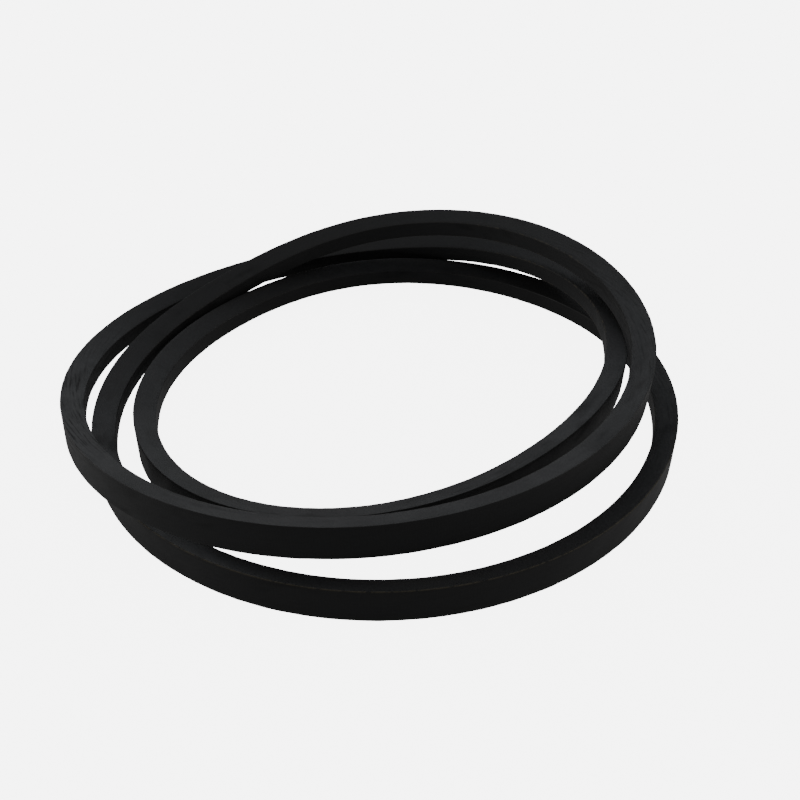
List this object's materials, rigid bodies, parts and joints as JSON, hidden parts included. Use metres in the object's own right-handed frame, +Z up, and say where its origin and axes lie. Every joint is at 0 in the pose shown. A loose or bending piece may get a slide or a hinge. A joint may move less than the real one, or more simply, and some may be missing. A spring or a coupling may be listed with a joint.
{
  "type": "v belt",
  "caption": "Endless wrapped V-belt of classical 17 x 11 mm wedge section, put away as a coil lying on its side.",
  "frame": {"origin": "middle of the coil's outline on the surface it lies on", "axes": "+Z up, out of the surface; the picture looks along +Y with +X to its right"},
  "size_m": [0.3158, 0.3162, 0.059],
  "materials": {
    "cover_cloth": "matt, rubber-coated bias cloth",
    "inner_cloth": "matt, rubber-coated bias cloth",
    "tension_rubber": "matt cured rubber",
    "adhesion_gum": "satin cured gum",
    "core_rubber": "matt fibre-filled rubber",
    "polyester_cord": "twisted polyester cord"
  },
  "bodies": {
    "root": {"outer_cover_length_1": "cover_cloth", "outer_cover_length_2": "cover_cloth", "outer_cover_length_3": "cover_cloth", "outer_cover_length_4": "cover_cloth", "inner_cover_ply": "inner_cloth", "overcord_rubber": "tension_rubber", "upper_adhesion_gum": "adhesion_gum", "lower_adhesion_gum": "adhesion_gum", "compression_rubber": "core_rubber", "tensile_cord_turn_1": "polyester_cord", "tensile_cord_turn_2": "polyester_cord", "tensile_cord_turn_3": "polyester_cord", "tensile_cord_turn_4": "polyester_cord", "tensile_cord_turn_5": "polyester_cord"}
  },
  "joints": []
}
